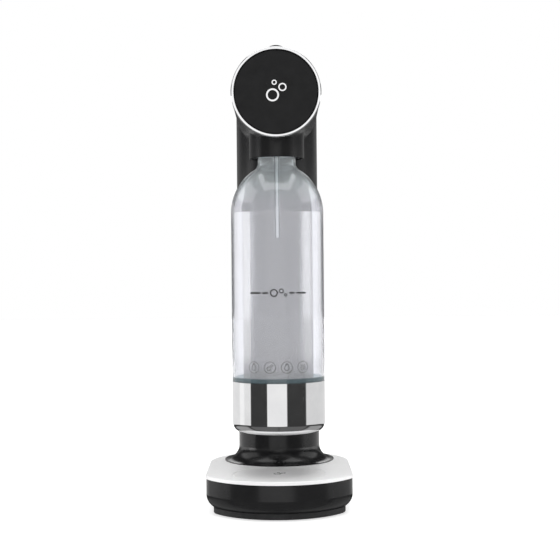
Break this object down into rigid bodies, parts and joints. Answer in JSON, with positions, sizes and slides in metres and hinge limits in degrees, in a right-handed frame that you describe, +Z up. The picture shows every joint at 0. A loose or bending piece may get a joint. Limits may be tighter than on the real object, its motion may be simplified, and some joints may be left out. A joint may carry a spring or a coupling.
{
  "type": "soda carbonator",
  "caption": "Counter-top water carbonator with a hanging bottle, a press button on a barrel-shaped head and a gas cylinder in its column.",
  "frame": {"origin": "middle of the footprint, on the surface that it stands on", "axes": "+Z up, front with the round disc and the bottle faces -Y, +X to the right seen from the front"},
  "size_m": [0.1416, 0.2096, 0.4504],
  "materials": {
    "band_plastic": "blue, smooth",
    "black_gloss": "deep black, semi-gloss",
    "black_matte": "black, fine-grained",
    "brass": "machined",
    "brushed_plate": "satin, brushed across",
    "button_black": "black, polished",
    "chrome": "polished",
    "clear_tritan": "clear, faint blue-grey",
    "cup_chrome": "polished",
    "cylinder_paint": "silver-grey paint",
    "hose_rubber": "black, smooth",
    "magnet": "nickel-plated",
    "rubber": "black, matt",
    "silicone": "grey, soft",
    "tube_steel": "smooth stainless",
    "white_plastic": "natural white, smooth",
    "zinc_steel": "zinc-plated"
  },
  "bodies": {
    "machine": {"base_screws": "zinc_steel", "base_shell": "black_gloss", "base_top_plate": "brushed_plate", "button_bezel": "chrome", "button_guide": "black_matte", "carbonation_tube": "tube_steel", "chassis_screws": "zinc_steel", "column_screws": "zinc_steel", "cover_magnets": "magnet", "cylinder_pad": "rubber", "cylinder_seal": "silicone", "cylinder_socket": "brass", "disc_backplate": "black_matte", "foot_tray": "black_matte", "front_disc": "black_gloss", "front_emblem": "chrome", "front_ring": "chrome", "gas_manifold": "brass", "head_chassis": "zinc_steel", "hose_fittings": "brass", "lever_pin": "zinc_steel", "main_housing": "black_gloss", "mouth_seal": "silicone", "nozzle_body": "brass", "nozzle_housing": "black_gloss", "nozzle_tip": "tube_steel", "pin_clips": "zinc_steel", "plate_emblem": "chrome", "pressure_hose": "hose_rubber", "relief_valve": "brass", "return_spring": "zinc_steel", "rubber_feet": "rubber", "safety_valve": "brass", "thread_ring": "black_matte", "tube_nut": "tube_steel"},
    "button": {"push_button": "button_black", "button_stem": "white_plastic", "stem_clip": "zinc_steel"},
    "lever": {"rocker_lever": "zinc_steel"},
    "plunger": {"valve_plunger": "tube_steel"},
    "cylinder": {"gas_cylinder": "cylinder_paint", "cylinder_valve": "brass", "cylinder_band": "band_plastic"},
    "valve_pin": {"valve_pin": "tube_steel"},
    "bottle_ring": {"bottle_neck_ring": "white_plastic"},
    "bottle": {"bottle_shell": "clear_tritan", "bottle_base_cup": "cup_chrome"},
    "cover": {"rear_cover": "black_gloss", "cover_strikes": "zinc_steel"}
  },
  "joints": [
    {"name": "button_press", "type": "slide", "parent": "machine", "child": "button", "axis": [0, 0, -1], "range_m": [0, 0.006], "stiffness_N_per_m": 1200, "springref_m": -0.002, "deforming": ["return_spring"]},
    {"name": "lever_rock", "type": "hinge", "parent": "machine", "child": "lever", "pos_m": [0, 0.06, 0.3955], "axis": [1, 0, 0], "range_deg": [0, 3.2]},
    {"name": "plunger_push", "type": "slide", "parent": "machine", "child": "plunger", "axis": [0, 0, -1], "range_m": [0, 0.0008]},
    {"name": "cylinder_lower", "type": "slide", "parent": "machine", "child": "cylinder", "axis": [0, 0, -1], "range_m": [0, 0.019]},
    {"name": "valve_pin_push", "type": "slide", "parent": "cylinder", "child": "valve_pin", "axis": [0, 0, -1], "range_m": [0, 0.0008]},
    {"name": "bottle_lower", "type": "slide", "parent": "machine", "child": "bottle_ring", "axis": [0, 0, -1], "range_m": [0, 0.036]},
    {"name": "bottle_turn", "type": "hinge", "parent": "bottle_ring", "child": "bottle", "pos_m": [0, -0.048, 0.347], "axis": [0, 0, 1], "range_deg": [0, 90]},
    {"name": "cover_slide", "type": "slide", "parent": "machine", "child": "cover", "axis": [0, 1, 0], "range_m": [0, 0.06]}
  ],
  "couplings": [
    {"joint": "lever_rock", "follows": "button_press", "rad_per_m": 9.259},
    {"joint": "plunger_push", "follows": "button_press", "ratio": 0.13},
    {"joint": "valve_pin_push", "follows": "button_press", "ratio": 0.13}
  ]
}
